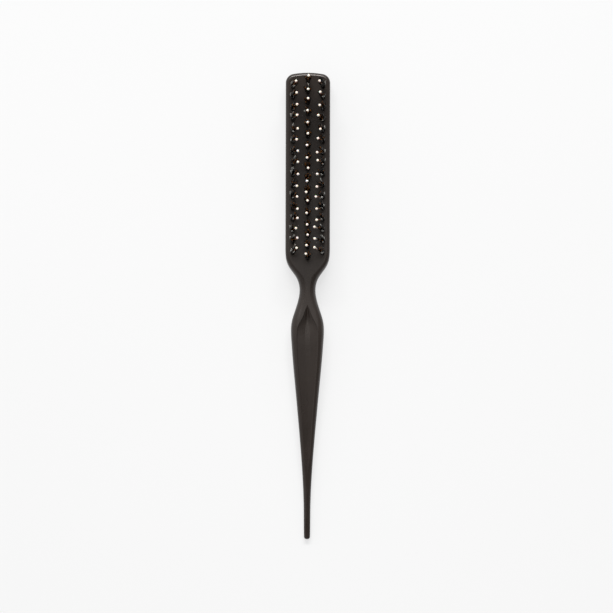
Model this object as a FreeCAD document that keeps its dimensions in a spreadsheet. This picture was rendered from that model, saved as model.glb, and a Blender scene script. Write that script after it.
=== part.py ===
import FreeCAD, Part

# Teasing brush with a sectioning tail, in millimetres.
#
# The brush lies on its back. X runs across it, Y runs along it with the head at +Y and
# the tail at -Y, and the bristles point up along +Z. The origin is on the resting surface
# under the middle of the brush.
#
# Pieces: one moulded handle body with 49 blind holes, 49 bristle tufts, and for each row of
# tufts one group of ball-tipped pins and one group of staples that anchor the tufts.

import math
import os

import Sketcher
from FreeCAD import Placement, Rotation, Vector

# ---------------------------------------------------------------- driving dimensions

SIZES = {
    # Head: a flat bar with rounded corners and a slightly crowned free end
    "head_end_y": 117.0,
    "head_root_y": 27.5,
    "head_half_width": 11.1,
    "head_thickness": 9.5,
    "head_corner_radius": 4.6,
    "head_crown_radius": 42.0,
    "face_edge_radius": 1.8,
    "back_edge_radius": 4.0,
    # Tail tip
    "tip_round": 1.2,
    # Thumb scoop: height of its cutter above the crease, and the share of the floor that
    # is rounded where the two facets meet
    "scoop_cutter_height": 4.0,
    "scoop_crease_share": 0.25,
    # Blind holes for the tufts, in three rows, the outer rows half a pitch out of step
    "hole_diameter": 2.0,
    "hole_depth": 6.2,
    "drill_lead": 1.0,
    "row_spacing": 7.5,
    "tuft_pitch": 5.585,
    "centre_row_count": 17,
    "outer_row_count": 16,
    "centre_first_y": 112.4,
    "outer_first_y": 109.6,
    # Bristle tuft: a tight root in the hole that fans out above the face
    "tuft_root_radius": 0.9,
    "tuft_fan_radius": 1.5,
    "tuft_height": 15.0,
    "tuft_crown": 1.0,
    "tuft_foot_gap": 0.1,
    # Ball-tipped pin: leans about a point inside its hole
    "pin_radius": 0.35,
    "pin_ball_radius": 0.7,
    "pin_height": 17.8,
    "pin_pivot_depth": 2.0,
    "pin_foot_depth": 4.1,
    "pin_bore_gap": 0.08,
    "outer_pin_lean": 6.5,
    "centre_pin_lean": 0.0,
    # Staple: flat wire laid across the folded tuft, its ends biting into the hole's wall
    "staple_thickness": 0.35,
    "staple_height": 1.5,
    "staple_length": 2.5,
    "staple_gap": 0.05,
    "staple_above_bottom": 0.45,
}

# Cross-sections of the handle from the head to the tip. Each is a rounded rectangle:
# place along the brush, half width, height of the front, thickness, front and back radii.
SECTION_SIZES = ("y", "half_width", "front", "thickness", "front_radius", "back_radius")
SECTIONS = {
    "root": (27.5, 11.1, 9.5, 9.5, 1.8, 4.0),
    "root_curve": (25.6, 11.02, 9.5, 9.5, 1.85, 4.0),
    "corner": (22.2, 10.5, 9.47, 9.4, 2.1, 4.0),
    "corner_flank": (18.1, 8.48, 9.35, 9.0, 2.7, 4.0),
    "neck_entry": (14.1, 5.66, 9.15, 8.25, 3.3, 3.9),
    "neck_upper": (10.6, 4.3, 8.97, 7.7, 3.6, 3.7),
    "neck": (7.5, 3.95, 8.9, 7.5, 3.6, 3.6),
    "neck_lower": (2.0, 4.78, 9.05, 7.85, 3.8, 3.7),
    "flare": (-4.1, 6.65, 9.45, 8.85, 3.6, 4.2),
    "flare_end": (-8.15, 7.8, 9.75, 9.5, 3.6, 4.6),
    "shoulder": (-12.2, 8.23, 9.95, 9.87, 3.6, 4.8),
    "grip_top": (-18.25, 8.0, 10.0, 10.0, 3.5, 4.8),
    "grip_upper": (-28.0, 7.25, 9.3, 9.25, 3.2, 4.5),
    "grip_lower": (-42.5, 5.9, 8.1, 8.0, 2.8, 4.0),
    "grip_end": (-57.6, 4.5, 6.9, 6.7, 2.3, 3.3),
    "tail_top": (-72.8, 3.2, 5.7, 5.4, 1.8, 2.6),
    "tail_middle": (-88.0, 2.15, 4.55, 4.2, 1.8, 2.0),
    "tail_lower": (-103.0, 1.64, 3.6, 3.4, 1.55, 1.55),
    "tip": (-117.0, 1.48, 2.96, 2.96, 1.4, 1.4),
}

# Cross-sections of the thumb scoop: place along the brush, height of the crease, half width
# of the floor, slope of the floor's two facets, slope of the walls beside it. The first
# starts above the neck's surface and the last ends above the tail's, so it fades in and out.
SCOOP_SIZES = ("y", "crease", "floor", "floor_slope", "wall_slope")
SCOOP = {
    "scoop_start": (3.2, 10.6, 0.3, 38.0, 44.0),
    "scoop_rise": (-0.4, 9.2, 0.6, 38.0, 44.0),
    "scoop_apex": (-3.46, 8.47, 1.2, 38.0, 44.0),
    "scoop_throat": (-6.95, 7.97, 2.3, 35.0, 43.0),
    "scoop_arch": (-9.4, 7.89, 3.55, 27.0, 42.0),
    "scoop_wide": (-11.85, 8.16, 4.55, 19.5, 40.0),
    "scoop_upper": (-14.5, 8.45, 4.9, 15.0, 38.0),
    "scoop_grip": (-18.25, 8.58, 4.95, 12.5, 37.0),
    "scoop_palm": (-23.5, 8.36, 4.85, 11.5, 36.0),
    "scoop_middle": (-31.0, 7.9, 4.45, 11.0, 35.0),
    "scoop_lower": (-40.5, 7.34, 3.7, 10.5, 34.0),
    "scoop_narrow": (-51.0, 6.68, 2.85, 10.0, 33.0),
    "scoop_slim": (-62.0, 6.0, 2.05, 9.5, 33.0),
    "scoop_fade": (-75.0, 5.22, 1.35, 9.0, 32.0),
    "scoop_end": (-90.0, 4.5, 0.8, 8.0, 30.0),
}

# Each row: which side of the middle it is on, and the word its sizes begin with.
# The pins of the outer rows lean towards the middle.
ROWS = {
    "left": (-1, "outer"),
    "centre": (0, "centre"),
    "right": (1, "outer"),
}

doc = FreeCAD.newDocument("TeasingBrush")
sheet = doc.addObject("Spreadsheet::Sheet", "Sizes")


def fill_sheet():
    """Write every driving dimension into the sheet: its name beside its value."""
    rows = dict(SIZES)
    for stations, columns in ((SECTIONS, SECTION_SIZES), (SCOOP, SCOOP_SIZES)):
        for station, values in stations.items():
            for column, value in zip(columns, values):
                rows[f"{station}_{column}"] = value
    for line, (alias, value) in enumerate(rows.items(), start=1):
        sheet.set(f"A{line}", alias)
        sheet.set(f"B{line}", str(value))
        sheet.setAlias(f"B{line}", alias)
    doc.recompute()


def size(alias):
    """A dimension's value, read back from the sheet."""
    return float(sheet.get(alias))


# ---------------------------------------------------------------- sketch helpers

def new_body(label):
    """An empty body with its own label, which may hold several separate solids."""
    body = doc.addObject("PartDesign::Body", label)
    body.Label = label
    body.AllowCompound = True
    return body


def origin_part(body, role):
    """One of the body's own origin planes or axes."""
    for feature in body.Origin.OriginFeatures:
        if feature.Role == role:
            return feature
    raise ValueError(role)


def new_sketch(body, name, plane, offset=None, bindings=None):
    """A sketch on one of the body's origin planes, moved by an offset bound to the sheet."""
    sketch = body.newObject("Sketcher::SketchObject", name)
    sketch.AttachmentSupport = [(origin_part(body, plane), "")]
    sketch.MapMode = "FlatFace"
    if offset is not None:
        sketch.AttachmentOffset = offset
    for path, expression in (bindings or {}).items():
        sketch.setExpression(path, expression)
    return sketch


def bind(sketch, name, expression, *constraint):
    """Add a named dimension to a sketch and bind it to an expression of the sheet."""
    index = sketch.addConstraint(Sketcher.Constraint(*constraint))
    sketch.renameConstraint(index, name)
    sketch.setExpression(f"Constraints.{name}", expression)


def add_polygon(sketch, points):
    """A closed outline of straight lines through the points, joined end to end."""
    count = len(points)
    for index, point in enumerate(points):
        sketch.addGeometry(Part.LineSegment(point, points[(index + 1) % count]))
    for index in range(count):
        sketch.addConstraint(Sketcher.Constraint("Coincident", index, 2, (index + 1) % count, 1))


def add_box(sketch, left, right, low, high):
    """An upright rectangle; the caller binds its width and its two levels."""
    corners = [(left, low), (right, low), (right, high), (left, high)]
    add_polygon(sketch, [Vector(across, up, 0) for across, up in corners])
    for line in (0, 2):
        sketch.addConstraint(Sketcher.Constraint("Horizontal", line))
    for line in (1, 3):
        sketch.addConstraint(Sketcher.Constraint("Vertical", line))


def arc(centre, radius, start, end):
    """An arc in the sketch plane, anticlockwise between two angles in radians."""
    return Part.ArcOfCircle(Part.Circle(centre, Vector(0, 0, 1), radius), start, end)


# ---------------------------------------------------------------- handle body

def head_sketch(body):
    """Outline of the head: straight sides, rounded corners and a crowned free end."""
    half = size("head_half_width")
    root = size("head_root_y")
    corner = size("head_corner_radius")
    crown = size("head_crown_radius")
    crown_y = size("head_end_y") - crown
    corner_x = half - corner
    corner_y = crown_y + math.sqrt((crown - corner) ** 2 - corner_x ** 2)
    lean = math.atan2(corner_y - crown_y, corner_x)

    sketch = new_sketch(body, "head_outline", "XY_Plane")
    sketch.addGeometry(Part.LineSegment(Vector(-half, root, 0), Vector(half, root, 0)))
    sketch.addGeometry(Part.LineSegment(Vector(half, root, 0), Vector(half, corner_y, 0)))
    sketch.addGeometry(arc(Vector(corner_x, corner_y, 0), corner, 0, lean))
    sketch.addGeometry(arc(Vector(0, crown_y, 0), crown, lean, math.pi - lean))
    sketch.addGeometry(arc(Vector(-corner_x, corner_y, 0), corner, math.pi - lean, math.pi))
    sketch.addGeometry(Part.LineSegment(Vector(-half, corner_y, 0), Vector(-half, root, 0)))
    sketch.addConstraint(Sketcher.Constraint("Coincident", 0, 2, 1, 1))
    sketch.addConstraint(Sketcher.Constraint("Coincident", 5, 2, 0, 1))
    for first in (1, 2, 3, 4):
        sketch.addConstraint(Sketcher.Constraint("Tangent", first, 2, first + 1, 1))
    sketch.addConstraint(Sketcher.Constraint("Horizontal", 0))
    sketch.addConstraint(Sketcher.Constraint("Vertical", 1))
    sketch.addConstraint(Sketcher.Constraint("Vertical", 5))
    sketch.addConstraint(Sketcher.Constraint("Equal", 2, 4))
    sketch.addConstraint(Sketcher.Constraint("PointOnObject", 3, 3, -2))
    bind(sketch, "corner", "Sizes.head_corner_radius", "Radius", 2, corner)
    bind(sketch, "crown", "Sizes.head_crown_radius", "Radius", 3, crown)
    bind(sketch, "crown_centre", "Sizes.head_end_y - Sizes.head_crown_radius",
         "DistanceY", -1, 1, 3, 3, crown_y)
    bind(sketch, "right_side", "Sizes.head_half_width", "DistanceX", -1, 1, 0, 2, half)
    bind(sketch, "left_side", "Sizes.head_half_width", "DistanceX", 0, 1, -1, 1, half)
    bind(sketch, "root", "Sizes.head_root_y", "DistanceY", -1, 1, 0, 1, root)
    return sketch


def section_sketch(body, station):
    """One rounded rectangle across the handle, on a plane square to the brush."""
    y, half, front, thickness, front_radius, back_radius = (
        size(f"{station}_{column}") for column in SECTION_SIZES)
    back = front - thickness
    front_x = half - front_radius
    back_x = half - back_radius
    front_z = front - front_radius
    back_z = back + back_radius
    quarter = math.pi / 2

    sketch = new_sketch(
        body, f"{station}_section", "XZ_Plane", Placement(Vector(0, 0, -y), Rotation()),
        {"AttachmentOffset.Base.z": f"-Sizes.{station}_y"})
    sketch.addGeometry(Part.LineSegment(Vector(-back_x, back, 0), Vector(back_x, back, 0)))
    sketch.addGeometry(arc(Vector(back_x, back_z, 0), back_radius, 3 * quarter, 4 * quarter))
    sketch.addGeometry(Part.LineSegment(Vector(half, back_z, 0), Vector(half, front_z, 0)))
    sketch.addGeometry(arc(Vector(front_x, front_z, 0), front_radius, 0, quarter))
    sketch.addGeometry(Part.LineSegment(Vector(front_x, front, 0), Vector(-front_x, front, 0)))
    sketch.addGeometry(arc(Vector(-front_x, front_z, 0), front_radius, quarter, 2 * quarter))
    sketch.addGeometry(Part.LineSegment(Vector(-half, front_z, 0), Vector(-half, back_z, 0)))
    sketch.addGeometry(arc(Vector(-back_x, back_z, 0), back_radius, 2 * quarter, 3 * quarter))
    for first in range(8):
        sketch.addConstraint(Sketcher.Constraint("Tangent", first, 2, (first + 1) % 8, 1))
    for line in (0, 4):
        sketch.addConstraint(Sketcher.Constraint("Horizontal", line))
    for line in (2, 6):
        sketch.addConstraint(Sketcher.Constraint("Vertical", line))
    sketch.addConstraint(Sketcher.Constraint("Equal", 3, 5))
    sketch.addConstraint(Sketcher.Constraint("Equal", 1, 7))
    name = f"Sizes.{station}"
    bind(sketch, "front_corner", f"{name}_front_radius", "Radius", 3, front_radius)
    bind(sketch, "back_corner", f"{name}_back_radius", "Radius", 1, back_radius)
    bind(sketch, "right_side", f"{name}_half_width", "DistanceX", -1, 1, 2, 1, half)
    bind(sketch, "left_side", f"{name}_half_width", "DistanceX", 6, 1, -1, 1, half)
    bind(sketch, "front_level", f"{name}_front", "DistanceY", -1, 1, 4, 1, front)
    bind(sketch, "through", f"{name}_thickness", "DistanceY", 0, 1, 4, 2, thickness)
    return sketch


def scoop_sketch(body, station):
    """One section of the scoop's cutter: two facets meeting in a soft crease, and two walls."""
    y, crease, floor, floor_slope, wall_slope = (
        size(f"{station}_{column}") for column in SCOOP_SIZES)
    floor_angle = math.radians(floor_slope)
    wall_angle = math.radians(wall_slope)
    facet_x = size("scoop_crease_share") * floor
    radius = facet_x / math.sin(floor_angle)
    facet_z = crease + radius * (1 - math.cos(floor_angle))
    foot_z = facet_z + (floor - facet_x) * math.tan(floor_angle)
    top = crease + size("scoop_cutter_height")
    mouth = floor + (top - foot_z) / math.tan(wall_angle)
    down = 3 * math.pi / 2
    corners = [(facet_x, facet_z), (floor, foot_z), (mouth, top),
               (-mouth, top), (-floor, foot_z), (-facet_x, facet_z)]

    sketch = new_sketch(
        body, f"{station}_section", "XZ_Plane", Placement(Vector(0, 0, -y), Rotation()),
        {"AttachmentOffset.Base.z": f"-Sizes.{station}_y"})
    sketch.addGeometry(
        arc(Vector(0, crease + radius, 0), radius, down - floor_angle, down + floor_angle))
    for start, end in zip(corners, corners[1:]):
        sketch.addGeometry(Part.LineSegment(Vector(*start, 0), Vector(*end, 0)))
    sketch.addConstraint(Sketcher.Constraint("Tangent", 0, 2, 1, 1))
    sketch.addConstraint(Sketcher.Constraint("Tangent", 5, 2, 0, 1))
    for first in range(1, 5):
        sketch.addConstraint(Sketcher.Constraint("Coincident", first, 2, first + 1, 1))
    sketch.addConstraint(Sketcher.Constraint("PointOnObject", 0, 3, -2))
    sketch.addConstraint(Sketcher.Constraint("Horizontal", 3))
    sketch.addConstraint(Sketcher.Constraint("Equal", 2, 4))
    facet = f"Sizes.scoop_crease_share * Sizes.{station}_floor"
    round_off = f"{facet} / sin(Sizes.{station}_floor_slope * 1 deg)"
    bind(sketch, "crease_radius", round_off, "Radius", 0, radius)
    bind(sketch, "crease_centre", f"Sizes.{station}_crease + {round_off}",
         "DistanceY", -1, 1, 0, 3, crease + radius)
    bind(sketch, "right_facet", facet, "DistanceX", -1, 1, 0, 2, facet_x)
    bind(sketch, "left_facet", facet, "DistanceX", 0, 1, -1, 1, facet_x)
    bind(sketch, "right_foot", f"Sizes.{station}_floor", "DistanceX", -1, 1, 1, 2, floor)
    bind(sketch, "left_foot", f"Sizes.{station}_floor", "DistanceX", 4, 2, -1, 1, floor)
    bind(sketch, "top", f"Sizes.{station}_crease + Sizes.scoop_cutter_height",
         "DistanceY", -1, 1, 2, 2, top)
    bind(sketch, "wall", f"Sizes.{station}_wall_slope * 1 deg", "Angle", 2, wall_angle)
    return sketch


def edges_where(shape, test):
    """Names of the shape's edges whose bounding box passes the test."""
    return [f"Edge{index}" for index, edge in enumerate(shape.Edges, start=1)
            if test(edge.BoundBox)]


def add_fillet(body, name, radius, test):
    """Round the edges of the body's present shape that pass the test."""
    doc.recompute()
    base = body.Tip
    fillet = body.newObject("PartDesign::Fillet", name)
    fillet.Base = (base, edges_where(base.Shape, test))
    fillet.setExpression("Radius", radius)
    doc.recompute()


def add_head(body):
    """The flat bar that carries the bristles, with its face and back edges rounded."""
    pad = body.newObject("PartDesign::Pad", "head_bar")
    pad.Profile = head_sketch(body)
    pad.setExpression("Length", "Sizes.head_thickness")

    root = size("head_root_y")

    def rim(box, level):
        is_level = abs(box.ZMin - level) < 1e-4 and abs(box.ZMax - level) < 1e-4
        return is_level and box.YMax - root > 1e-4

    face = size("head_thickness")
    add_fillet(body, "face_edge", "Sizes.face_edge_radius", lambda box: rim(box, face))
    add_fillet(body, "back_edge", "Sizes.back_edge_radius", lambda box: rim(box, 0.0))


def add_loft(body, kind, name, sketches):
    """Join a row of closed sketches with one smooth skin, added or cut away."""
    loft = body.newObject(kind, name)
    loft.Profile = sketches[0]
    loft.Sections = sketches[1:]
    doc.recompute()


def add_handle(body):
    """Neck, shoulder and tail in one smooth skin, the blunt tip, and the thumb scoop."""
    sections = [section_sketch(body, station) for station in SECTIONS]
    add_loft(body, "PartDesign::AdditiveLoft", "neck_and_tail", sections)
    tip = size("tip_y")
    add_fillet(body, "tip_round", "Sizes.tip_round", lambda box: box.YMax - tip < 1e-3)
    cutters = [scoop_sketch(body, station) for station in SCOOP]
    add_loft(body, "PartDesign::SubtractiveLoft", "thumb_scoop", cutters)


def add_row_of_holes(body, row):
    """Blind holes of one row, each with a slot at its bottom for the staple's ends."""
    side, kind = ROWS[row]
    place = {
        "AttachmentOffset.Base.x": f"{side} * Sizes.row_spacing",
        "AttachmentOffset.Base.y": f"Sizes.{kind}_first_y",
    }
    hole_place = dict(place)
    hole_place["AttachmentOffset.Base.z"] = "Sizes.head_thickness + Sizes.drill_lead"
    sketch = new_sketch(body, f"{row}_hole_outline", "XY_Plane", Placement(), hole_place)
    radius = size("hole_diameter") / 2
    sketch.addGeometry(Part.Circle(Vector(0, 0, 0), Vector(0, 0, 1), radius))
    sketch.addConstraint(Sketcher.Constraint("Coincident", 0, 3, -1, 1))
    bind(sketch, "bore", "Sizes.hole_diameter", "Diameter", 0, 2 * radius)
    hole = body.newObject("PartDesign::Pocket", f"{row}_hole")
    hole.Profile = sketch
    hole.setExpression("Length", "Sizes.hole_depth + Sizes.drill_lead")

    slot_place = dict(place)
    slot_place["AttachmentOffset.Base.z"] = (
        "Sizes.head_thickness - Sizes.hole_depth + Sizes.staple_above_bottom"
        " + Sizes.staple_height + Sizes.staple_gap")
    half_width = size("staple_thickness") / 2 + size("staple_gap")
    half_length = size("staple_length") / 2 + size("staple_gap")
    sketch = new_sketch(body, f"{row}_slot_outline", "XY_Plane", Placement(), slot_place)
    add_box(sketch, -half_width, half_width, -half_length, half_length)
    wide = "Sizes.staple_thickness / 2 + Sizes.staple_gap"
    long = "Sizes.staple_length / 2 + Sizes.staple_gap"
    bind(sketch, "right_edge", wide, "DistanceX", -1, 1, 0, 2, half_width)
    bind(sketch, "left_edge", wide, "DistanceX", 0, 1, -1, 1, half_width)
    bind(sketch, "upper_edge", long, "DistanceY", -1, 1, 2, 1, half_length)
    bind(sketch, "lower_edge", long, "DistanceY", 0, 1, -1, 1, half_length)
    slot = body.newObject("PartDesign::Pocket", f"{row}_slot")
    slot.Profile = sketch
    slot.setExpression("Length", "Sizes.staple_height + 2 * Sizes.staple_gap")
    add_row_pattern(body, row, [hole, slot])


def add_row_pattern(body, row, originals):
    """Repeat features along the row, from the head's free end towards its root."""
    _side, kind = ROWS[row]
    doc.recompute()
    pattern = body.newObject("PartDesign::LinearPattern", f"{row}_pattern")
    pattern.Originals = originals
    pattern.Direction = (origin_part(body, "Y_Axis"), [""])
    pattern.Reversed = True
    pattern.setExpression("Length", f"Sizes.tuft_pitch * (Sizes.{kind}_row_count - 1)")
    pattern.setExpression("Occurrences", f"Sizes.{kind}_row_count")
    body.Tip = pattern
    doc.recompute()


def make_handle_body():
    """The moulded body of the brush."""
    body = new_body("handle_body")
    add_head(body)
    add_handle(body)
    for row in ROWS:
        add_row_of_holes(body, row)
    return body


# ---------------------------------------------------------------- bristle tufts

def make_tuft(row, number):
    """One tuft: root in the hole, fan above the face, bore for its pin, slot for its staple."""
    side, kind = ROWS[row]
    body = new_body(f"bristle_tuft_{row}_{number:02d}")
    foot = size("tuft_foot_gap") - size("hole_depth")
    root = size("tuft_root_radius")
    fan = size("tuft_fan_radius")
    top = size("tuft_height")
    shoulder = top - size("tuft_crown")

    outline = new_sketch(body, "tuft_outline", "XZ_Plane")
    points = [(0, foot), (root, foot), (root, 0), (fan, shoulder), (0, top)]
    add_polygon(outline, [Vector(across, up, 0) for across, up in points])
    outline.addConstraint(Sketcher.Constraint("Horizontal", 0))
    outline.addConstraint(Sketcher.Constraint("Vertical", 1))
    outline.addConstraint(Sketcher.Constraint("PointOnObject", 0, 1, -2))
    outline.addConstraint(Sketcher.Constraint("PointOnObject", 4, 1, -2))
    outline.addConstraint(Sketcher.Constraint("PointOnObject", 2, 1, -1))
    bind(outline, "foot", "Sizes.hole_depth - Sizes.tuft_foot_gap",
         "DistanceY", 0, 1, -1, 1, -foot)
    bind(outline, "root_radius", "Sizes.tuft_root_radius", "DistanceX", -1, 1, 0, 2, root)
    bind(outline, "fan_radius", "Sizes.tuft_fan_radius", "DistanceX", -1, 1, 3, 1, fan)
    bind(outline, "top", "Sizes.tuft_height", "DistanceY", -1, 1, 4, 1, top)
    bind(outline, "crown", "Sizes.tuft_crown", "DistanceY", 3, 1, 4, 1, top - shoulder)
    bundle = body.newObject("PartDesign::Revolution", "bundle")
    bundle.Profile = outline
    bundle.ReferenceAxis = (outline, ["V_Axis"])
    bundle.Angle = 360

    # The pin's bore is drilled down the pin's own leaning axis, from above the tuft.
    start = size("tuft_height") + size("pin_pivot_depth") + 1
    lean = f"({-side} * Sizes.{kind}_pin_lean)"
    tilt = -side * size(f"{kind}_pin_lean")
    bore_sketch = new_sketch(
        body, "pin_bore_outline", "XY_Plane",
        Placement(Vector(0, 0, start), Rotation(Vector(0, 1, 0), tilt)),
        {
            "AttachmentOffset.Base.x":
                f"(Sizes.tuft_height + Sizes.pin_pivot_depth + 1) * sin({lean} * 1 deg)",
            "AttachmentOffset.Base.z":
                f"(Sizes.tuft_height + Sizes.pin_pivot_depth + 1) * cos({lean} * 1 deg)"
                " - Sizes.pin_pivot_depth",
            "AttachmentOffset.Rotation.Angle": lean,
        })
    radius = size("pin_radius") + size("pin_bore_gap")
    bore_sketch.addGeometry(Part.Circle(Vector(0, 0, 0), Vector(0, 0, 1), radius))
    bore_sketch.addConstraint(Sketcher.Constraint("Coincident", 0, 3, -1, 1))
    bind(bore_sketch, "bore", "Sizes.pin_radius + Sizes.pin_bore_gap", "Radius", 0, radius)
    bore = body.newObject("PartDesign::Pocket", "pin_bore")
    bore.Profile = bore_sketch
    bore.setExpression(
        "Length",
        "Sizes.tuft_height + 1 + Sizes.pin_foot_depth + Sizes.pin_bore_gap")

    # The folded bristles pass on both sides of the staple and underneath it.
    low = size("staple_above_bottom") - size("staple_gap") - size("hole_depth")
    high = low + size("staple_height") + 2 * size("staple_gap")
    half = size("staple_thickness") / 2 + size("staple_gap")
    window = new_sketch(body, "staple_window_outline", "XZ_Plane")
    add_box(window, -half, half, low, high)
    bind(window, "right_edge", "Sizes.staple_thickness / 2 + Sizes.staple_gap",
         "DistanceX", -1, 1, 0, 2, half)
    bind(window, "left_edge", "Sizes.staple_thickness / 2 + Sizes.staple_gap",
         "DistanceX", 0, 1, -1, 1, half)
    bind(window, "low_edge", "Sizes.hole_depth - Sizes.staple_above_bottom + Sizes.staple_gap",
         "DistanceY", 0, 1, -1, 1, -low)
    bind(window, "window_height", "Sizes.staple_height + 2 * Sizes.staple_gap",
         "DistanceY", 1, 1, 1, 2, high - low)
    passage = body.newObject("PartDesign::Pocket", "staple_window")
    passage.Profile = window
    passage.SideType = "Symmetric"
    passage.setExpression("Length", "4 * Sizes.tuft_root_radius")

    body.setExpression("Placement.Base.x", f"{side} * Sizes.row_spacing")
    body.setExpression("Placement.Base.y",
                       f"Sizes.{kind}_first_y - {number - 1} * Sizes.tuft_pitch")
    body.setExpression("Placement.Base.z", "Sizes.head_thickness")
    return body


# ---------------------------------------------------------------- ball-tipped pins

def make_pins(row):
    """The row's ball-tipped pins, all leaning the same way."""
    side, kind = ROWS[row]
    body = new_body(f"ball_pins_{row}")
    radius = size("pin_radius")
    ball = size("pin_ball_radius")
    foot = size("pin_pivot_depth") - size("pin_foot_depth")
    top = size("pin_height") + size("pin_pivot_depth")
    centre = top - ball
    join = centre - math.sqrt(ball ** 2 - radius ** 2)
    join_angle = math.atan2(join - centre, radius)

    outline = new_sketch(
        body, "pin_outline", "XZ_Plane",
        Placement(Vector(0, 0, 0), Rotation(Vector(0, 0, 1), side * size(f"{kind}_pin_lean"))),
        {
            "AttachmentOffset.Base.x": f"{side} * Sizes.row_spacing",
            "AttachmentOffset.Base.y": "Sizes.head_thickness - Sizes.pin_pivot_depth",
            "AttachmentOffset.Base.z": f"-Sizes.{kind}_first_y",
            "AttachmentOffset.Rotation.Angle": f"{side} * Sizes.{kind}_pin_lean",
        })
    outline.addGeometry(Part.LineSegment(Vector(0, foot, 0), Vector(radius, foot, 0)))
    outline.addGeometry(Part.LineSegment(Vector(radius, foot, 0), Vector(radius, join, 0)))
    outline.addGeometry(arc(Vector(0, centre, 0), ball, join_angle, math.pi / 2))
    outline.addGeometry(Part.LineSegment(Vector(0, top, 0), Vector(0, foot, 0)))
    for first in range(4):
        outline.addConstraint(Sketcher.Constraint("Coincident", first, 2, (first + 1) % 4, 1))
    outline.addConstraint(Sketcher.Constraint("Horizontal", 0))
    outline.addConstraint(Sketcher.Constraint("Vertical", 1))
    outline.addConstraint(Sketcher.Constraint("PointOnObject", 0, 1, -2))
    outline.addConstraint(Sketcher.Constraint("PointOnObject", 2, 2, -2))
    outline.addConstraint(Sketcher.Constraint("PointOnObject", 2, 3, -2))
    bind(outline, "shank", "Sizes.pin_radius", "DistanceX", -1, 1, 0, 2, radius)
    bind(outline, "ball", "Sizes.pin_ball_radius", "Radius", 2, ball)
    bind(outline, "foot", "Sizes.pin_foot_depth - Sizes.pin_pivot_depth",
         "DistanceY", 0, 1, -1, 1, -foot)
    bind(outline, "top", "Sizes.pin_height + Sizes.pin_pivot_depth",
         "DistanceY", -1, 1, 2, 2, top)
    pin = body.newObject("PartDesign::Revolution", "pin")
    pin.Profile = outline
    pin.ReferenceAxis = (outline, ["V_Axis"])
    pin.Angle = 360
    add_row_pattern(body, row, [pin])
    return body


# ---------------------------------------------------------------- staples

def make_staples(row):
    """The row's staples: short flat wires along the row, one at the bottom of each hole."""
    side, kind = ROWS[row]
    body = new_body(f"staples_{row}")
    half = size("staple_thickness") / 2
    height = size("staple_height")
    outline = new_sketch(
        body, "wire_outline", "XZ_Plane", Placement(),
        {
            "AttachmentOffset.Base.x": f"{side} * Sizes.row_spacing",
            "AttachmentOffset.Base.y":
                "Sizes.head_thickness - Sizes.hole_depth + Sizes.staple_above_bottom",
            "AttachmentOffset.Base.z": f"-Sizes.{kind}_first_y",
        })
    add_box(outline, -half, half, 0, height)
    outline.addConstraint(Sketcher.Constraint("PointOnObject", 0, 1, -1))
    bind(outline, "right_edge", "Sizes.staple_thickness / 2", "DistanceX", -1, 1, 0, 2, half)
    bind(outline, "left_edge", "Sizes.staple_thickness / 2", "DistanceX", 0, 1, -1, 1, half)
    bind(outline, "wire_height", "Sizes.staple_height", "DistanceY", 1, 1, 1, 2, height)
    wire = body.newObject("PartDesign::Pad", "wire")
    wire.Profile = outline
    wire.SideType = "Symmetric"
    wire.setExpression("Length", "Sizes.staple_length")
    add_row_pattern(body, row, [wire])
    return body


# ---------------------------------------------------------------- whole brush

def check_model(parts):
    """Stop before anything is written if any feature failed or any shape is unsound."""
    for item in doc.Objects:
        if "Invalid" in item.State or "Error" in item.State:
            raise RuntimeError(f"{item.Label} failed: {item.State}")
    for part in parts:
        if part.Shape.isNull() or not part.Shape.isValid():
            raise RuntimeError(f"{part.Label} has no sound shape")


def write_parts(parts):
    """One STEP file for each sub-part, named after it."""
    os.makedirs("parts", exist_ok=True)
    for part in parts:
        part.Shape.exportStep(os.path.join("parts", f"{part.Label}.step"))


fill_sheet()
parts = [make_handle_body()]
for row, (_side, kind) in ROWS.items():
    count = int(size(f"{kind}_row_count"))
    parts.extend(make_tuft(row, number) for number in range(1, count + 1))
    parts.append(make_pins(row))
    parts.append(make_staples(row))
doc.recompute()
check_model(parts)
write_parts(parts)
for part in parts:
    print(part.Label, len(part.Shape.Solids), round(part.Shape.Volume, 2))
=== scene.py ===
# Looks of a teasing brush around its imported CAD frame. Metres, in the row's frame:
# +Y towards the free end of the head, +Z out of the bristle face.

import math
import random

import bpy
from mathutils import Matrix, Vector


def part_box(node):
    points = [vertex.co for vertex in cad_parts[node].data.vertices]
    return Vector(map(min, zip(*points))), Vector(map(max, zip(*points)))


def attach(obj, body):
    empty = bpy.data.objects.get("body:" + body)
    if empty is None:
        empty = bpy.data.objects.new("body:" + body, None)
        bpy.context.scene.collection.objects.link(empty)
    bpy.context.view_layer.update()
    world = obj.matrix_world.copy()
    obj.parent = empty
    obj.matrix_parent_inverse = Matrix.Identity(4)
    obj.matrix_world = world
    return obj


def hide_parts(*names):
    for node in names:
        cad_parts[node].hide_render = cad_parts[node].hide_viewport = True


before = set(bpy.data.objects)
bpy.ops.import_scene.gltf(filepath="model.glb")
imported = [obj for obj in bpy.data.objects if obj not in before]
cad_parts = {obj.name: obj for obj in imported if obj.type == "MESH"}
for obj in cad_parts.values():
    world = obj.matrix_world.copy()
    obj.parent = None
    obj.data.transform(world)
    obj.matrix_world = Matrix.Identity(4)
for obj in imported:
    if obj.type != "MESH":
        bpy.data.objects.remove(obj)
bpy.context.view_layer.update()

MM = 0.001
SEED = 20
ROWS = {"left": (-1, 16), "centre": (0, 17), "right": (1, 16)}  # side in X, number of tufts

# ---------------------------------------------------------------- places from the frame

ROOT_DEPTH = 6.1 * MM       # from the face down to a tuft's foot
PIN_FOOT_DEPTH = 4.1 * MM   # from the face down to a pin's foot
PIN_HEIGHT = 17.8 * MM      # from the face up to the top of a pin's ball


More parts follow.
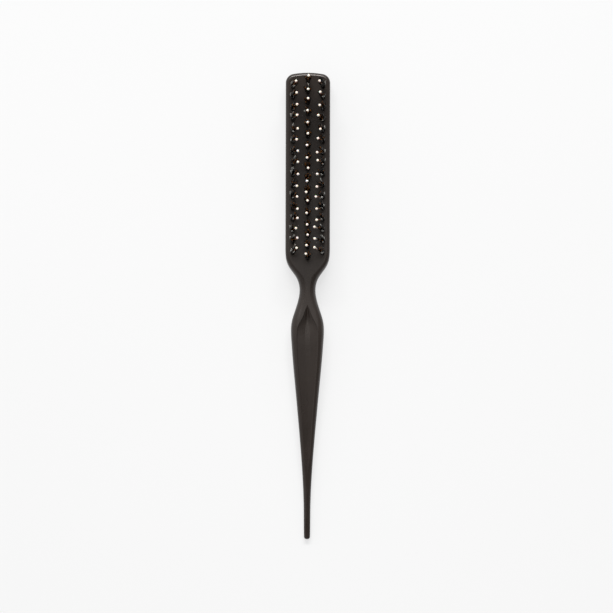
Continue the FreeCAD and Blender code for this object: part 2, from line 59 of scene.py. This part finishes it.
def tuft_places(row):
    """Where each tuft of a row leaves the face: the centre of its hole."""
    side, count = ROWS[row]
    places = []
    for number in range(1, count + 1):
        low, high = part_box(f"bristle_tuft_{row}_{number:02d}")
        radius = (high.y - low.y) / 2
        if side < 0:
            x = low.x + radius
        elif side > 0:
            x = high.x - radius
        else:
            x = (low.x + high.x) / 2
        places.append(Vector((x, (low.y + high.y) / 2, low.z + ROOT_DEPTH)))
    return places


# ---------------------------------------------------------------- material helpers

NOISE_LOW = 0.3             # nearly all noise values lie between these two
NOISE_HIGH = 0.7


def new_material(name):
    """A new material, with its nodes, its links and its Principled shader."""
    material = bpy.data.materials.new(name)
    material.use_nodes = True
    nodes = material.node_tree.nodes
    shader = nodes["Principled BSDF"]
    return material, nodes, material.node_tree.links, shader


def noise(nodes, links, scale, detail, roughness, stretch=None):
    """Noise in the object's own space. Scale is in bumps per metre."""
    place = nodes.new("ShaderNodeTexCoord")
    texture = nodes.new("ShaderNodeTexNoise")
    texture.inputs["Scale"].default_value = scale
    texture.inputs["Detail"].default_value = detail
    texture.inputs["Roughness"].default_value = roughness
    source = place.outputs["Object"]
    if stretch is not None:
        mapping = nodes.new("ShaderNodeMapping")
        mapping.inputs["Scale"].default_value = stretch
        links.new(source, mapping.inputs["Vector"])
        source = mapping.outputs["Vector"]
    links.new(source, texture.inputs["Vector"])
    return texture.outputs["Fac"]


def ramp(nodes, links, value, stops):
    """A colour ramp: stops are (position, colour)."""
    node = nodes.new("ShaderNodeValToRGB")
    elements = node.color_ramp.elements
    while len(elements) < len(stops):
        elements.new(0.5)
    for element, (position, colour) in zip(elements, stops):
        element.position = position
        element.color = (*colour, 1.0)
    links.new(value, node.inputs["Fac"])
    return node.outputs["Color"]


def spread(nodes, links, value, low, high, start=NOISE_LOW, end=NOISE_HIGH):
    """Map a value between start and end onto low to high."""
    node = nodes.new("ShaderNodeMapRange")
    node.inputs["From Min"].default_value = start
    node.inputs["From Max"].default_value = end
    node.inputs["To Min"].default_value = low
    node.inputs["To Max"].default_value = high
    links.new(value, node.inputs["Value"])
    return node.outputs["Result"]


def bump(nodes, links, height, strength, distance, below=None):
    """A bump from a height value, on top of another bump where one is given."""
    node = nodes.new("ShaderNodeBump")
    node.inputs["Strength"].default_value = strength
    node.inputs["Distance"].default_value = distance
    links.new(height, node.inputs["Height"])
    if below is not None:
        links.new(below, node.inputs["Normal"])
    return node.outputs["Normal"]


def by_tone(nodes, links, stops):
    """A colour ramp over the tone written on each vertex of the tubes."""
    tone = nodes.new("ShaderNodeAttribute")
    tone.attribute_name = "tone"
    return ramp(nodes, links, tone.outputs["Fac"], stops)


def mottle(nodes, links, colour, value, low, high):
    """Multiply a colour by a grey that follows a noise value."""
    grey = ramp(nodes, links, value, [
        (NOISE_LOW, (low, low, low)),
        (NOISE_HIGH, (high, high, high)),
    ])
    blend = nodes.new("ShaderNodeMix")
    blend.data_type = "RGBA"
    blend.blend_type = "MULTIPLY"
    blend.inputs["Factor"].default_value = 1.0
    links.new(colour, blend.inputs["A"])
    links.new(grey, blend.inputs["B"])
    return blend.outputs["Result"]


# ---------------------------------------------------------------- materials

# Tones that the tubes carry at their vertices. The pale tone is painted light: glints on the
# bristle tips, and the lit top of each pin.
AMBER_TONE = 0.0
BLACK_TONE = 0.3
PALE_LIT_TONE = 1.0


def handle_plastic():
    """Black moulded plastic: satin, a fine spark-eroded grain, faint handling marks."""
    material, nodes, links, shader = new_material("handle_plastic")
    cloud = noise(nodes, links, scale=45, detail=4, roughness=0.6)
    colour = ramp(nodes, links, cloud, [
        (0.35, (0.0092, 0.0052, 0.0034)),
        (0.65, (0.0134, 0.0082, 0.0056)),
    ])
    links.new(colour, shader.inputs["Base Color"])
    rubbed = noise(nodes, links, scale=160, detail=5, roughness=0.65, stretch=(1.0, 0.35, 1.0))
    links.new(spread(nodes, links, rubbed, low=0.25, high=0.34), shader.inputs["Roughness"])
    grain = noise(nodes, links, scale=5200, detail=2, roughness=0.5)
    swell = noise(nodes, links, scale=220, detail=2, roughness=0.5)
    fine = bump(nodes, links, grain, strength=0.25, distance=0.02 * MM)
    coarse = bump(nodes, links, swell, strength=0.12, distance=0.1 * MM, below=fine)
    links.new(coarse, shader.inputs["Normal"])
    shader.inputs["IOR"].default_value = 1.5
    shader.inputs["Specular Tint"].default_value = (1.0, 0.94, 0.9, 1.0)
    return material


def bristle_black():
    """Glossy bristle: black, with some strands amber towards the tip, and pale grey tips on
    some strands as painted glints of light.
    """
    material, nodes, links, shader = new_material("bristle_black")
    streak = noise(nodes, links, scale=1400, detail=3, roughness=0.6, stretch=(1.0, 1.0, 0.12))
    # The pale stop paints glints of light onto the tips of some strands.
    colour = by_tone(nodes, links, [
        (AMBER_TONE, (0.25, 0.1, 0.022)),
        (BLACK_TONE, (0.004, 0.003, 0.0022)),
        (PALE_LIT_TONE, (0.62, 0.62, 0.58)),
    ])
    uneven = mottle(nodes, links, colour, streak, low=0.55, high=1.0)
    links.new(uneven, shader.inputs["Base Color"])
    links.new(spread(nodes, links, streak, low=0.2, high=0.36), shader.inputs["Roughness"])
    scales = noise(nodes, links, scale=9000, detail=2, roughness=0.5, stretch=(1.0, 1.0, 0.4))
    rough = bump(nodes, links, scales, strength=0.15, distance=0.01 * MM)
    links.new(rough, shader.inputs["Normal"])
    shader.inputs["IOR"].default_value = 1.45
    shader.inputs["Specular IOR Level"].default_value = 0.2
    return material


def pin_nylon():
    """Nylon pins: glossy, cream at the ball, amber down the shank, uneven in tone. The cream is
    partly painted light on the ball's lit top and on pins leaning into the light, and the amber
    is partly painted shade on the ball's underside and the shank.
    """
    material, nodes, links, shader = new_material("pin_nylon")
    cloud = noise(nodes, links, scale=700, detail=3, roughness=0.5)
    # Pale stop: partly the nylon's own colour, partly painted light on the lit part of the pin.
    # Amber stop: the nylon's own colour, also used as painted shade on the ball's underside.
    colour = by_tone(nodes, links, [
        (AMBER_TONE, (0.33, 0.11, 0.026)),
        (PALE_LIT_TONE, (0.95, 0.85, 0.75)),
    ])
    uneven = mottle(nodes, links, colour, cloud, low=0.86, high=1.0)
    links.new(uneven, shader.inputs["Base Color"])
    links.new(spread(nodes, links, cloud, low=0.12, high=0.22), shader.inputs["Roughness"])
    shader.inputs["IOR"].default_value = 1.53
    shader.inputs["Subsurface Weight"].default_value = 0.3
    shader.inputs["Subsurface Radius"].default_value = (0.8 * MM, 0.5 * MM, 0.3 * MM)
    shader.inputs["Coat Weight"].default_value = 0.4
    shader.inputs["Coat Roughness"].default_value = 0.06
    return material


def staple_wire():
    """Drawn steel wire."""
    material, nodes, links, shader = new_material("staple_wire")
    drawn = noise(nodes, links, scale=3000, detail=3, roughness=0.6, stretch=(1.0, 0.05, 1.0))
    colour = ramp(nodes, links, drawn, [
        (NOISE_LOW, (0.42, 0.4, 0.38)),
        (NOISE_HIGH, (0.62, 0.6, 0.58)),
    ])
    links.new(colour, shader.inputs["Base Color"])
    links.new(spread(nodes, links, drawn, low=0.25, high=0.45), shader.inputs["Roughness"])
    shader.inputs["Metallic"].default_value = 1.0
    return material


def floor_white():
    """Plain pale acrylic that glows a little, so that shadows on it stay faint."""
    material, nodes, links, shader = new_material("floor_white")
    cloud = noise(nodes, links, scale=2.0, detail=2, roughness=0.5)
    colour = ramp(nodes, links, cloud, [
        (NOISE_LOW, (0.2, 0.2, 0.2)),
        (NOISE_HIGH, (0.21, 0.21, 0.21)),
    ])
    links.new(colour, shader.inputs["Base Color"])
    shader.inputs["Roughness"].default_value = 0.9
    shader.inputs["Specular IOR Level"].default_value = 0.2
    shader.inputs["Emission Color"].default_value = (1.0, 1.0, 1.0, 1.0)
    shader.inputs["Emission Strength"].default_value = 0.678
    return material


# ---------------------------------------------------------------- mesh helpers

def clamp(value):
    """Keep a value between 0 and 1."""
    return min(max(value, 0), 1)


def direction(turn):
    """The unit vector in the face's plane at an angle from +X."""
    return Vector((math.cos(turn), math.sin(turn), 0))


class Tubes:
    """A growing set of closed tubes, with a tone at every vertex."""

    def __init__(self):
        self.vertices = []
        self.faces = []
        self.tones = []

    def add(self, path, radii, sides, tones):
        """A tube along a path: a radius and a tone at each point, closed at both ends."""
        first = len(self.vertices)
        last = len(path) - 1
        for index, (centre, radius) in enumerate(zip(path, radii)):
            before = path[max(index - 1, 0)]
            after = path[min(index + 1, last)]
            along = (after - before).normalized()
            across = along.cross(Vector((0, 1, 0))).normalized()
            upward = across.cross(along)
            for side in range(sides):
                turn = 2 * math.pi * side / sides
                offset = (across * math.cos(turn) + upward * math.sin(turn)) * radius
                self.vertices.append(centre + offset)
                self.tones.append(tones[index])
        for index in range(last):
            for side in range(sides):
                a = first + index * sides + side
                b = first + index * sides + (side + 1) % sides
                self.faces.append((a, b, b + sides, a + sides))
        foot = len(self.vertices)
        self.vertices.extend((path[0], path[-1]))
        self.tones.extend((tones[0], tones[-1]))
        top = first + last * sides
        for side in range(sides):
            following = (side + 1) % sides
            self.faces.append((foot, first + following, first + side))
            self.faces.append((foot + 1, top + side, top + following))


def add_object(name, data):
    """A new object in the scene."""
    made = bpy.data.objects.new(name, data)
    bpy.context.scene.collection.objects.link(made)
    return made


def add_piece(name, tubes, material):
    """A smooth-shaded piece made of tubes, riding with the brush."""
    mesh = bpy.data.meshes.new(name)
    mesh.from_pydata(tubes.vertices, [], tubes.faces)
    mesh.update()
    mesh.polygons.foreach_set("use_smooth", [True] * len(mesh.polygons))
    mesh.attributes.new("tone", "FLOAT", "POINT").data.foreach_set("value", tubes.tones)
    mesh.materials.append(material)
    piece = add_object(name, mesh)
    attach(piece, "root")
    return piece


# ---------------------------------------------------------------- bristle tufts

TUFT_HEIGHT = 15.0 * MM
TUFT_SUNK = 3.5 * MM        # how far the strands are modelled down into the hole
TUFT_ROOT = 0.85 * MM       # radius of the bundle where it leaves the hole
TUFT_FAN = 2.15 * MM        # radius of the bundle at its top

# Lean of a tuft's top towards the middle of the head, in mm. The right row leans more and
# more towards the root of the head, the left row evenly.
LEAN_LEAST = 0.55
LEAN_GROWTH = 0.5
LEFT_LEAN_SHARE = 0.4
LEAN_JITTER_ACROSS = 0.18
LEAN_JITTER_ALONG = 0.3

# Clumps that the strands are drawn into: how far out they lie, as a share of the fan, and
# how far they draw a strand over to themselves
CLUMPS = 4
CLUMP_DRIFT = 0.35          # how far a clump strays round the tuft, as a share of its sector
OUTWARD_COSINE = -0.3       # above this a clump is outward, where the painted glints show
# Chance that an outward clump carries painted glints; the centre row, shaded by the outer rows,
# gets few.
GLINT_CHANCE = {"left": 0.42, "centre": 0.05, "right": 0.55}
GLINT_REACH = (0.75, 1.1)
GLINT_PULL = (0.75, 0.95)
DARK_REACH = (0.55, 0.95)
DARK_PULL = (0.2, 0.7)

# Strands, set out in a sunflower pattern. Pairs are the limits of a random factor.
BRISTLES = 44
BRISTLE_RADIUS = 0.15 * MM
BRISTLE_RINGS = 9
BRISTLE_SIDES = 5
GOLDEN_TURN = math.pi * (3 - math.sqrt(5))
TURN_JITTER = 0.2           # radians
FAN_JITTER = (0.85, 1.15)
STRAY_CHANCE = 0.12
STRAY_REACH = (1.25, 1.7)   # a stray strand ends this many times as far out
PULL_JITTER = (0.7, 1.0)
TIP_DROP = 1.6              # mm: a strand may be this much shorter than the tuft
RIM_DROP = 0.4              # mm: the outermost strands end this much lower
STRAND_BEND = 0.3           # mm
FLARE_POWER = 1.35          # above 1: a strand leaves its hole straight and bends out later
TAPER = 0.35                # share of its radius that a strand loses up to its tip

# Colours of the strands: shares of a strand's height and chances. The pale grey tips are
# painted glints of light, set where light catches the bristles.
GLINT_START = 0.62
GLINT_STRAND_CHANCE = 0.75   # in a clump with painted glints
GLINT_STRENGTH = (0.75, 1.0)
AMBER_START = 0.75
AMBER_CHANCE = {"left": 0.7, "centre": 0.9, "right": 0.5}
AMBER_REACH = 0.6           # only strands this near the pin are amber, as a share of the bundle
TONE_FADE = 0.2             # share of the height over which the tone turns


def make_clumps(row, chance):
    """The clumps of a tuft: each one's place, its pull and whether it carries painted glints.
    """
    side = ROWS[row][0]
    clumps = []
    for index in range(CLUMPS):
        turn = 2 * math.pi * (index + chance.uniform(-CLUMP_DRIFT, CLUMP_DRIFT)) / CLUMPS
        is_outward = side * math.cos(turn) > OUTWARD_COSINE
        is_glinting = is_outward and chance.random() < GLINT_CHANCE[row]
        reach = TUFT_FAN * chance.uniform(*(GLINT_REACH if is_glinting else DARK_REACH))
        pull = chance.uniform(*(GLINT_PULL if is_glinting else DARK_PULL))
        clumps.append((direction(turn) * reach, pull, is_glinting))
    return clumps


def strand_tone(row, out, is_glinting, chance):
    """The tone of a strand's tip, and the share of its height where that tone sets in."""
    # Strands of a glinting clump get pale tips: painted glints of light.
    if is_glinting and chance.random() < GLINT_STRAND_CHANCE:
        return chance.uniform(*GLINT_STRENGTH) * PALE_LIT_TONE, GLINT_START
    if out < AMBER_REACH and chance.random() < AMBER_CHANCE[row]:
        return AMBER_TONE, AMBER_START
    return BLACK_TONE, 1.0


def add_strand(tubes, place, root, tip, bend, tone, start):
    """One strand, from inside its hole at root up to tip, both measured from place."""
    path = []
    radii = []
    tones = []
    for ring in range(BRISTLE_RINGS):
        share = ring / (BRISTLE_RINGS - 1)
        z = -TUFT_SUNK + share * (tip.z + TUFT_SUNK)
        above = max(z, 0) / tip.z
        point = root.lerp(Vector((tip.x, tip.y, 0)), above ** FLARE_POWER)
        point = point + bend * math.sin(math.pi * above)
        path.append(place + Vector((point.x, point.y, z)))
        radii.append(BRISTLE_RADIUS * (1 - TAPER * above ** 3))
        tones.append(BLACK_TONE + (tone - BLACK_TONE) * clamp((above - start) / TONE_FADE))
    tubes.add(path, radii, BRISTLE_SIDES, tones)


def make_tuft(row, number, place, material):
    """One tuft: separate strands packed in the hole, fanning out and drawn into clumps."""
    chance = random.Random(f"{SEED} {row} {number}")
    side, count = ROWS[row]
    lean_share = number / count if side > 0 else LEFT_LEAN_SHARE
    inward = -side * (LEAN_LEAST + LEAN_GROWTH * lean_share)
    sideways = inward + chance.gauss(0, LEAN_JITTER_ACROSS)
    lean = Vector((sideways, chance.gauss(0, LEAN_JITTER_ALONG), 0)) * MM
    clumps = make_clumps(row, chance)
    tubes = Tubes()
    for index in range(BRISTLES):
        turn = index * GOLDEN_TURN + chance.uniform(-TURN_JITTER, TURN_JITTER)
        out = math.sqrt((index + 0.5) / BRISTLES)
        root = direction(turn) * out * TUFT_ROOT
        fanned = direction(turn) * out * TUFT_FAN * chance.uniform(*FAN_JITTER)
        if chance.random() < STRAY_CHANCE:
            fanned = fanned * chance.uniform(*STRAY_REACH)
        nearest, pull, is_glinting = min(clumps, key=lambda clump: (clump[0] - fanned).length)
        tip = fanned.lerp(nearest, pull * chance.uniform(*PULL_JITTER)) + lean
        tip.z = TUFT_HEIGHT - chance.uniform(0.0, TIP_DROP) * MM - out * RIM_DROP * MM
        bend = Vector((chance.uniform(-1, 1), chance.uniform(-1, 1), 0)) * STRAND_BEND * MM
        tone, start = strand_tone(row, out, is_glinting, chance)
        add_strand(tubes, place, root, tip, bend, tone, start)
    piece = add_piece(f"tuft_{row}_{number:02d}", tubes, material)
    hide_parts(f"bristle_tuft_{row}_{number:02d}")


# ---------------------------------------------------------------- ball-tipped pins

PIN_RADIUS = 0.3 * MM
PIN_SIDES = 16
PIN_SWELL = 4.2 * MM        # length below the ball's centre over which the shank thickens
PIN_LEVELS = 12             # rings of the slim shank
BALL_RADIUS = 0.64 * MM
BALL_LEVELS = 10
BALL_FOOT = 0.73            # half turns from the top of the ball down to its lowest ring
BALL_SWEEP = 0.71           # half turns from that ring up to the topmost one
PIN_DROP = 0.5              # mm: a pin may be this much shorter
PIN_BOW = 0.25              # share of a pin's lean that sets in gradually with height

# Typical lean of a row's pins in degrees towards +X: the lean at the free end of the head, the
# lean that is added, and how much of it is added at each share of the way along the row
PIN_LEAN = {
    "left": (5.6, 3.8, lambda share: math.sin(math.pi * share)),
    "centre": (0.5, -3.0, lambda share: share ** 3),
    "right": (-6.3, -7.9, lambda share: share ** 1.3),
}
PIN_LEAN_JITTER = 1.3
PIN_SAG = 8.5               # degrees towards the tail, at most
PIN_SAG_JITTER = 1.5

# A pin is cream down to this far below its ball's centre (above it where negative), and on a
# pin that leans more than a few degrees further down. This is painted light and shade: the
# ball's lit top stays cream, its underside turns amber as painted shade, and a pin leaning out
# of its tuft into the light is painted lit further down.
LIT_CREAM_DEPTH = -0.15         # mm
LIT_CREAM_FREE_LEAN = 8         # degrees
LIT_CREAM_PER_DEGREE = 0.75     # mm
LIT_CREAM_FADE = 0.9 * MM       # length over which cream turns to amber


def pin_lean(row, share):
    """Typical lean of a row's pins, in degrees towards +X."""
    first, added, growth = PIN_LEAN[row]
    return first + added * growth(share)


def pin_sag(share):
    """Typical lean towards the tail, in degrees: nearly none at both ends of a row."""
    return PIN_SAG * math.sin(math.pi * share ** 2)


def pin_point(place, lean, pitch, z):
    """A point on a pin's centre line: straight in its hole, then leaning in a slight bow."""
    above = max(z, 0)
    reach = above * (1 - PIN_BOW + PIN_BOW * above / PIN_HEIGHT)
    return place + Vector((math.tan(lean) * reach, math.tan(pitch) * reach, z))


def make_pins(row, places, material):
    """A row of pins: a slim shank that swells into a drop-shaped ball."""
    chance = random.Random(f"{SEED} pins {row}")
    tubes = Tubes()
    for index, place in enumerate(places):
        share = index / (len(places) - 1)
        lean = math.radians(pin_lean(row, share) + chance.gauss(0, PIN_LEAN_JITTER))
        pitch = math.radians(chance.gauss(0, PIN_SAG_JITTER) - pin_sag(share))
        height = PIN_HEIGHT - chance.uniform(0.0, PIN_DROP) * MM
        length = height - BALL_RADIUS
        shank = length - PIN_SWELL + PIN_FOOT_DEPTH
        # The painted light reaches further down a pin that leans out of its tuft into the
        # light.
        extra_lean = max(math.degrees(abs(lean)) - LIT_CREAM_FREE_LEAN, 0)
        cream = (LIT_CREAM_PER_DEGREE * extra_lean + LIT_CREAM_DEPTH) * MM
        levels = []
        for step in range(PIN_LEVELS):
            levels.append(-PIN_FOOT_DEPTH + step / (PIN_LEVELS - 1) * shank)
        radii = [PIN_RADIUS] * len(levels)
        for step in range(BALL_LEVELS):
            angle = math.pi * (BALL_FOOT - BALL_SWEEP * step / (BALL_LEVELS - 1))
            levels.append(length + BALL_RADIUS * math.cos(angle))
            radii.append(BALL_RADIUS * math.sin(angle))
        path = [pin_point(place, lean, pitch, z) for z in levels]
        # Pale where the pin is painted lit, turning amber below as painted shade.
        tones = [clamp(1 - (length - cream - z) / LIT_CREAM_FADE) for z in levels]
        tubes.add(path, radii, PIN_SIDES, tones)
    piece = add_piece(f"pins_{row}", tubes, material)
    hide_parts(f"ball_pins_{row}")


# ---------------------------------------------------------------- build the brush

def dress(node, material):
    """Give a CAD node its material. Its mesh stays as it is."""
    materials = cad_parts[node].data.materials
    materials.clear()
    materials.append(material)


bristle = bristle_black()
nylon = pin_nylon()
wire = staple_wire()

dress("handle_body", handle_plastic())
for row in ROWS:
    dress(f"staples_{row}", wire)
    places = tuft_places(row)
    for number, place in enumerate(places, start=1):
        make_tuft(row, number, place, bristle)
    make_pins(row, places, nylon)

# ---------------------------------------------------------------- studio

FLOOR_HALF = 2.5
FLOOR_GAP = 0.05 * MM       # keeps the floor clear of the flat back

CAMERA_ELEVATION = 82.0     # degrees above the floor
CAMERA_ROLL = 0.13          # degrees
CAMERA_DISTANCE = 6.0
CAMERA_CLIP = 20
SENSOR = 36.0               # mm
VIEW_WIDTH = 0.3057         # width of the picture at the brush
VIEW_CENTRE = Vector((-0.0005, -0.0006, 0.005))

# The room's light by direction: for each axis the light at the low end of a range and at its
# high end, and then the range. The three are multiplied.
ROOM = {
    "X": (0.94, 0.54, -0.6, 0.6),       # brighter on the left
    "Y": (0.7, 1.12, -0.05, 0.3),       # brighter past the free end of the head
    "Z": (1.0, 0.28, 0.75, 0.98),       # dim straight above, so that the black stays deep
}


def add_floor():
    """The pale surface that the brush lies on."""
    half = FLOOR_HALF
    mesh = bpy.data.meshes.new("floor")
    corners = [(-half, -half), (half, -half), (half, half), (-half, half)]
    mesh.from_pydata([(x, y, -FLOOR_GAP) for x, y in corners], [], [(0, 1, 2, 3)])
    mesh.materials.append(floor_white())
    floor = add_object("floor", mesh)


def add_softbox(name, place, width, height, power, target=(0, 0, 0)):
    """A rectangular soft light aimed at a point and hidden from the camera. Power in watts."""
    light = bpy.data.lights.new(name, "AREA")
    light.shape = "RECTANGLE"
    light.size = width
    light.size_y = height
    light.energy = power
    lamp = add_object(name, light)
    lamp.location = place
    aim = Vector(target) - Vector(place)
    lamp.rotation_euler = aim.to_track_quat("-Z", "Y").to_euler()
    lamp.visible_camera = False


def add_world():
    """A plain white room, with its light by direction."""
    world = bpy.data.worlds.new("room")
    world.use_nodes = True
    nodes = world.node_tree.nodes
    links = world.node_tree.links
    place = nodes.new("ShaderNodeTexCoord")
    axes = nodes.new("ShaderNodeSeparateXYZ")
    links.new(place.outputs["Generated"], axes.inputs["Vector"])
    strength, *shares = [
        spread(nodes, links, axes.outputs[axis], *limits) for axis, limits in ROOM.items()]
    for share in shares:
        product = nodes.new("ShaderNodeMath")
        product.operation = "MULTIPLY"
        links.new(strength, product.inputs[0])
        links.new(share, product.inputs[1])
        strength = product.outputs["Value"]
    background = nodes["Background"]
    background.inputs["Color"].default_value = (1.0, 1.0, 1.0, 1.0)
    links.new(strength, background.inputs["Strength"])
    bpy.context.scene.world = world


def add_camera():
    """A long lens nearly straight above the brush, a little from the tail's side."""
    tilt = math.radians(90 - CAMERA_ELEVATION)
    roll = math.radians(CAMERA_ROLL)
    camera_data = bpy.data.cameras.new("camera")
    camera_data.sensor_width = SENSOR
    camera_data.lens = SENSOR * CAMERA_DISTANCE / VIEW_WIDTH
    camera_data.clip_end = CAMERA_CLIP
    camera = add_object("camera", camera_data)
    away = Vector((
        math.sin(roll) * math.sin(tilt), -math.cos(roll) * math.sin(tilt), math.cos(tilt)))
    camera.location = VIEW_CENTRE + away * CAMERA_DISTANCE
    camera.rotation_euler = (tilt, 0, roll)
    bpy.context.scene.camera = camera


add_floor()
add_world()
# A key light past the free end of the head, and a weak panel close above the brush that gives
# the black plastic its lengthwise gloss
add_softbox("softbox_key", (-0.05, 1.5, 1.45), width=1.6, height=0.3, power=47)
add_softbox("softbox_top", (0.015, 0.043, 0.36), width=0.34, height=0.165, power=0.145,
            target=(0.015, 0.043, 0.0))
add_camera()
bpy.context.scene.view_settings.view_transform = "Standard"
